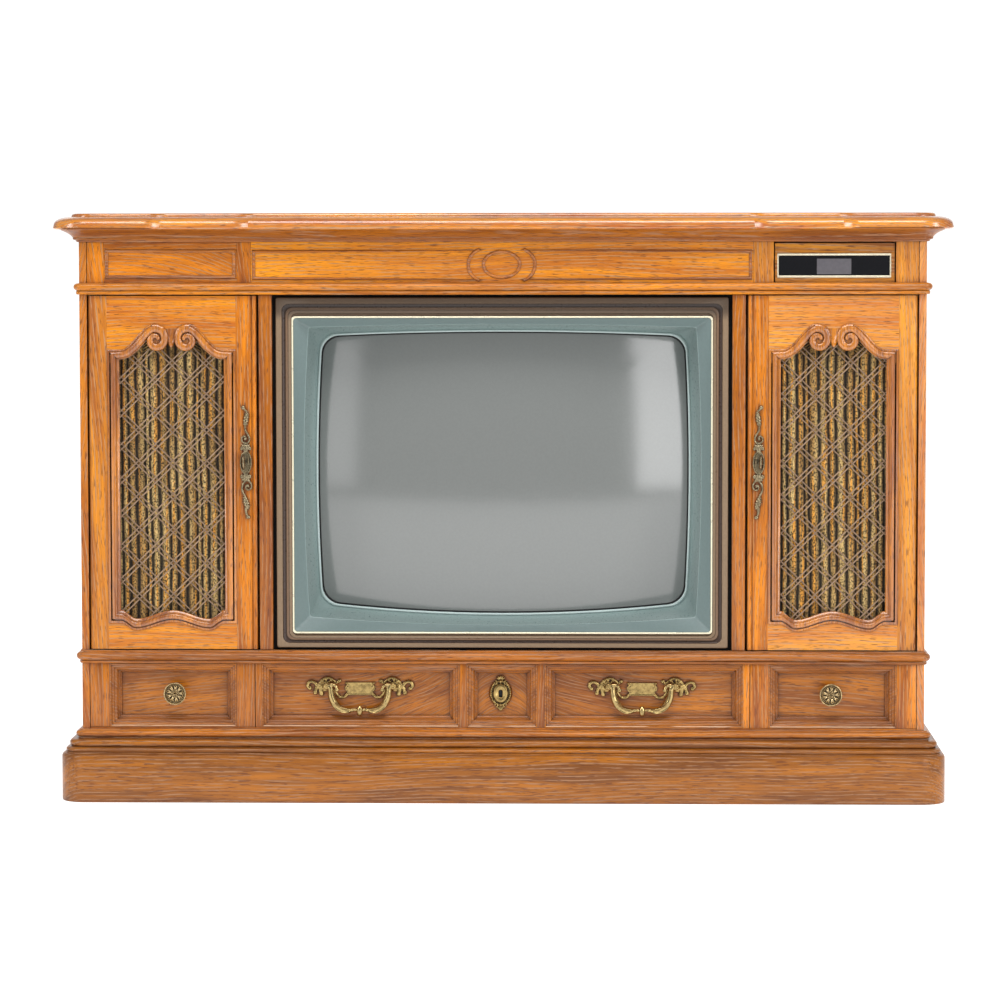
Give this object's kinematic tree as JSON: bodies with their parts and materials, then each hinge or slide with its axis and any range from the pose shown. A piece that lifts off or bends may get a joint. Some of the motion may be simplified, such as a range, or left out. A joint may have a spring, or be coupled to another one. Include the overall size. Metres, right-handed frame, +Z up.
{
  "type": "console television cabinet",
  "caption": "Floor-standing wooden television console with hinged grille doors, false drawers, a shaped top and a moulded plinth.",
  "frame": {"origin": "on the floor, under the middle of the whole object's box", "axes": "+X to the viewer's right along the longest side, +Y back into the cabinet, +Z up; the screen faces -Y"},
  "size_m": [1.2356, 0.5798, 0.805],
  "materials": {
    "oak_case": "satin honey-brown stain with open dark grain",
    "oak_moulding": "satin honey-brown stain, darker in the hollows",
    "raw_board": "unfinished particle board",
    "hardboard": "pressed hardboard, matt brown",
    "antique_brass": "aged brass with dark hollows",
    "hinge_brass": "plain brass",
    "brown_plastic": "moulded, fine texture",
    "gold_trim": "bright foil line",
    "teal_plastic": "satin grey-teal paint on moulded plastic",
    "screen_glass": "polished grey glass with a phosphor screen behind it",
    "tube_coating": "dark conductive coating on glass",
    "bright_steel": "zinc plate",
    "yoke_copper": "varnished copper windings",
    "circuit_green": "printed circuit board",
    "black_plastic": "moulded black",
    "speaker_paper": "paper cone and black steel basket",
    "fascia_wood": "satin golden wood-grain laminate",
    "display_grey": "unlit grey display",
    "smoked_window": "smoked acrylic in a bright metal frame",
    "grille_cloth": "pleated gold and brown tweed grille cloth",
    "lattice_wire": "beige-brown lacquered wire"
  },
  "bodies": {
    "cabinet": {"top_panel": "oak_case", "cornice_moulding": "oak_moulding", "left_side_panel": "oak_case", "right_side_panel": "oak_case", "bottom_board": "raw_board", "frieze_board": "oak_case", "frieze_beading": "oak_moulding", "upper_bead_moulding": "oak_moulding", "lower_bead_moulding": "oak_moulding", "posts": "oak_case", "dividers": "raw_board", "apron_board": "oak_case", "apron_mouldings": "oak_moulding", "apron_panels": "oak_case", "base_moulding": "oak_moulding", "plinth_moulding": "oak_case", "plinth_frame": "raw_board", "speaker_baffles": "raw_board", "woofers": "speaker_paper", "tweeters": "speaker_paper", "back_cover": "hardboard", "back_cover_screws": "bright_steel", "ac_inlet": "black_plastic", "tuner_module": "bright_steel", "tv_mask": "brown_plastic", "mask_trim": "gold_trim", "screen_bezel": "teal_plastic", "tube_face": "screen_glass", "tube_funnel": "tube_coating", "rim_band": "bright_steel", "deflection_yoke": "yoke_copper", "neck_board": "circuit_green", "chassis_tray": "bright_steel", "circuit_board": "circuit_green", "flyback_transformer": "black_plastic", "control_fascia": "fascia_wood", "key_plate": "black_plastic", "display_module": "display_grey", "escutcheon": "antique_brass", "knobs": "antique_brass", "bail_backplates": "antique_brass", "door_pivot_pins": "hinge_brass"},
    "left_door": {"left_door_frame": "oak_case", "left_door_moulding": "oak_moulding", "left_door_lattice": "lattice_wire", "left_door_cloth": "grille_cloth", "left_door_pull": "antique_brass"},
    "right_door": {"right_door_frame": "oak_case", "right_door_moulding": "oak_moulding", "right_door_lattice": "lattice_wire", "right_door_cloth": "grille_cloth", "right_door_pull": "antique_brass"},
    "left_bail": {"left_bail": "antique_brass"},
    "right_bail": {"right_bail": "antique_brass"},
    "control_window": {"control_window": "smoked_window"},
    "power_key": {"power_key": "black_plastic"},
    "volume_down_key": {"volume_down_key": "black_plastic"},
    "volume_up_key": {"volume_up_key": "black_plastic"},
    "channel_down_key": {"channel_down_key": "black_plastic"},
    "channel_up_key": {"channel_up_key": "black_plastic"}
  },
  "joints": [
    {"name": "left_door_hinge", "type": "hinge", "parent": "cabinet", "child": "left_door", "pos_m": [-0.56, -0.244, 0.45], "axis": [0, 0, -1], "range_deg": [0, 95]},
    {"name": "right_door_hinge", "type": "hinge", "parent": "cabinet", "child": "right_door", "pos_m": [0.56, -0.244, 0.45], "axis": [0, 0, 1], "range_deg": [0, 95]},
    {"name": "left_bail_swing", "type": "hinge", "parent": "cabinet", "child": "left_bail", "pos_m": [-0.192, -0.238, 0.156], "axis": [-1, 0, 0], "range_deg": [0, 95]},
    {"name": "right_bail_swing", "type": "hinge", "parent": "cabinet", "child": "right_bail", "pos_m": [0.192, -0.238, 0.156], "axis": [-1, 0, 0], "range_deg": [0, 95]},
    {"name": "control_window_hinge", "type": "hinge", "parent": "cabinet", "child": "control_window", "pos_m": [0.45, -0.245, 0.718], "axis": [1, 0, 0], "range_deg": [0, 90]},
    {"name": "power_key_press", "type": "slide", "parent": "cabinet", "child": "power_key", "axis": [0, 1, 0], "range_m": [0, 0.0015], "stiffness_N_per_m": 400},
    {"name": "volume_down_key_press", "type": "slide", "parent": "cabinet", "child": "volume_down_key", "axis": [0, 1, 0], "range_m": [0, 0.0015], "stiffness_N_per_m": 400},
    {"name": "volume_up_key_press", "type": "slide", "parent": "cabinet", "child": "volume_up_key", "axis": [0, 1, 0], "range_m": [0, 0.0015], "stiffness_N_per_m": 400},
    {"name": "channel_down_key_press", "type": "slide", "parent": "cabinet", "child": "channel_down_key", "axis": [0, 1, 0], "range_m": [0, 0.0015], "stiffness_N_per_m": 400},
    {"name": "channel_up_key_press", "type": "slide", "parent": "cabinet", "child": "channel_up_key", "axis": [0, 1, 0], "range_m": [0, 0.0015], "stiffness_N_per_m": 400}
  ]
}
